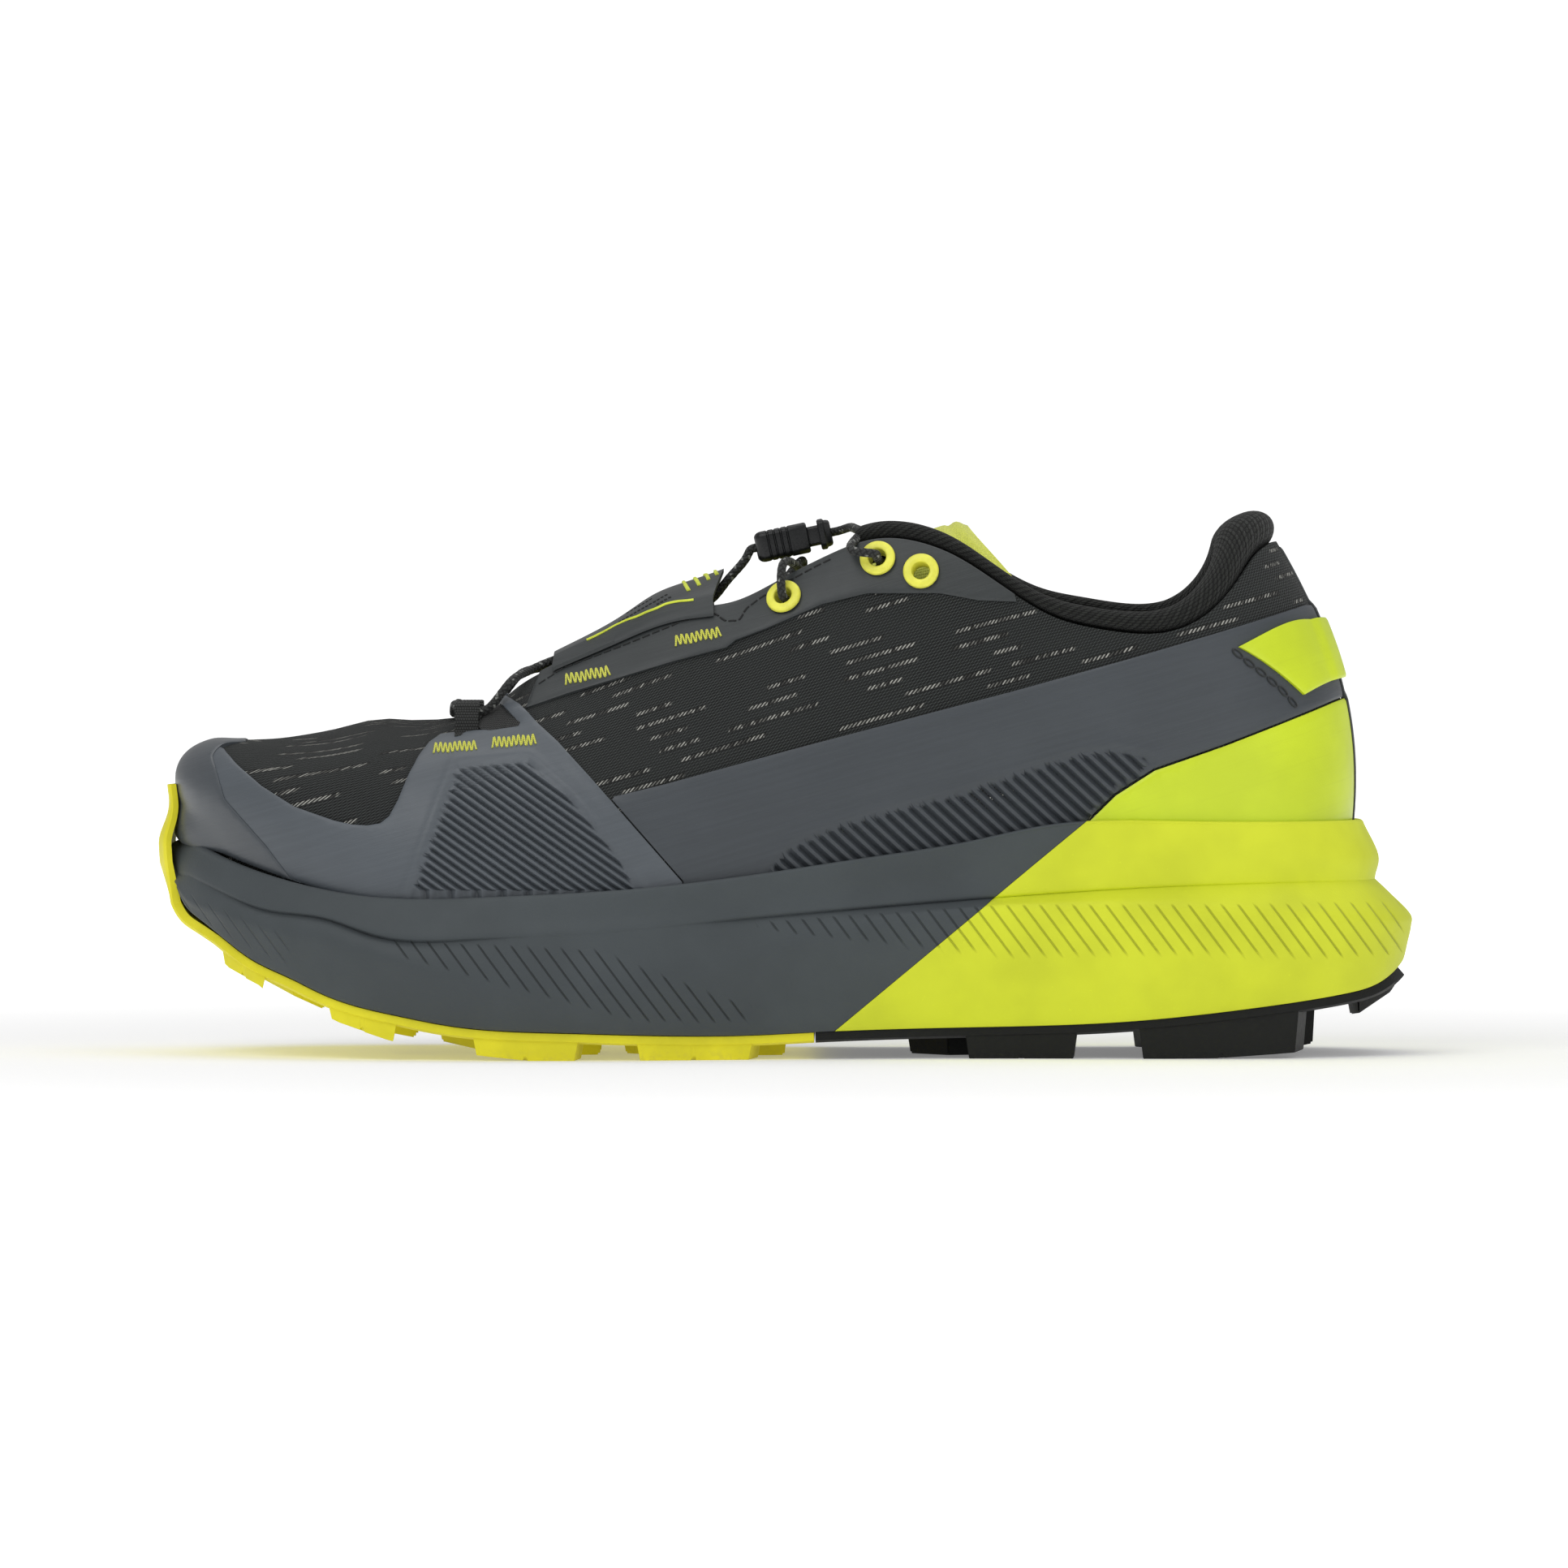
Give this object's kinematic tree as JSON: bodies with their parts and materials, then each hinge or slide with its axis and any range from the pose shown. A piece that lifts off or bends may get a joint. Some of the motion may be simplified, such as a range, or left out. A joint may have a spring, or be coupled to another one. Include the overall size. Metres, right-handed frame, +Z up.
{
  "type": "running shoe",
  "caption": "Left trail running shoe: thick foam sole, lugged rubber outsole, knitted upper with moulded film overlays, padded collar and tongue, and cord lacing with a push-button cord lock",
  "frame": {"origin": "centre of the shoe's bounding box in X and Y, on the ground plane that the lug treads stand on", "axes": "+X runs from toe to heel, -Y is the outer side of this left shoe, +Z is up"},
  "size_m": [0.3, 0.1132, 0.1294],
  "materials": {
    "grey_foam": "matt moulded foam",
    "lime_foam": "matt moulded foam",
    "yellow_rubber": "matt moulded rubber",
    "black_rubber": "matt moulded rubber",
    "board": "fibre board",
    "insole": "fabric-topped foam",
    "knit": "engineered mesh",
    "slate_film": "satin moulded film",
    "lime_film": "satin moulded film",
    "stiffener": "thermoplastic sheet",
    "collar": "padded knit",
    "tongue_lime": "padded textile",
    "eyelet": "moulded grommet",
    "cord": "braided cord",
    "lock": "moulded nylon",
    "spring_steel": "bright wire"
  },
  "bodies": {
    "shoe": {"midsole_forefoot": "grey_foam", "midsole_heel": "lime_foam", "outsole_forefoot": "yellow_rubber", "outsole_heel": "black_rubber", "strobel_board": "board", "insole": "insole", "upper_mesh": "knit", "toe_bumper": "slate_film", "forefoot_overlay_lateral": "slate_film", "forefoot_overlay_medial": "slate_film", "quarter_band_lateral": "slate_film", "quarter_band_medial": "slate_film", "heel_cap": "lime_film", "eyestay_lateral": "slate_film", "eyestay_medial": "slate_film", "heel_counter_insert": "stiffener", "toe_puff": "stiffener", "collar_lining": "collar", "tongue_base": "tongue_lime", "throat_cover": "slate_film", "heel_pull_tab": "lime_film", "eyelet_lateral_1": "eyelet", "eyelet_lateral_2": "eyelet", "eyelet_lateral_3": "eyelet", "eyelet_medial_1": "eyelet", "eyelet_medial_2": "eyelet", "eyelet_medial_3": "eyelet", "lace_loop_lateral": "cord", "lace_loop_medial": "cord", "lace": "cord", "lace_end_tab": "lock"},
    "cord_lock": {"cord_lock_body": "lock", "cord_lock_spring": "spring_steel"},
    "lock_button": {"cord_lock_button": "lock"},
    "tongue_top": {"tongue_tip": "tongue_lime"}
  },
  "joints": [
    {"name": "cord_lock_slide", "type": "slide", "parent": "shoe", "child": "cord_lock", "axis": [0.9781, 0, 0.2079], "range_m": [0, 0.0015]},
    {"name": "lock_button_press", "type": "slide", "parent": "cord_lock", "child": "lock_button", "axis": [-0.9781, 0, -0.2079], "range_m": [0, 0.0022], "stiffness_N_per_m": 400, "deforming": ["cord_lock_spring"]},
    {"name": "tongue_fold", "type": "hinge", "parent": "shoe", "child": "tongue_top", "pos_m": [0.025, 0, 0.12145], "axis": [0, -1, 0], "range_deg": [0, 20]}
  ]
}
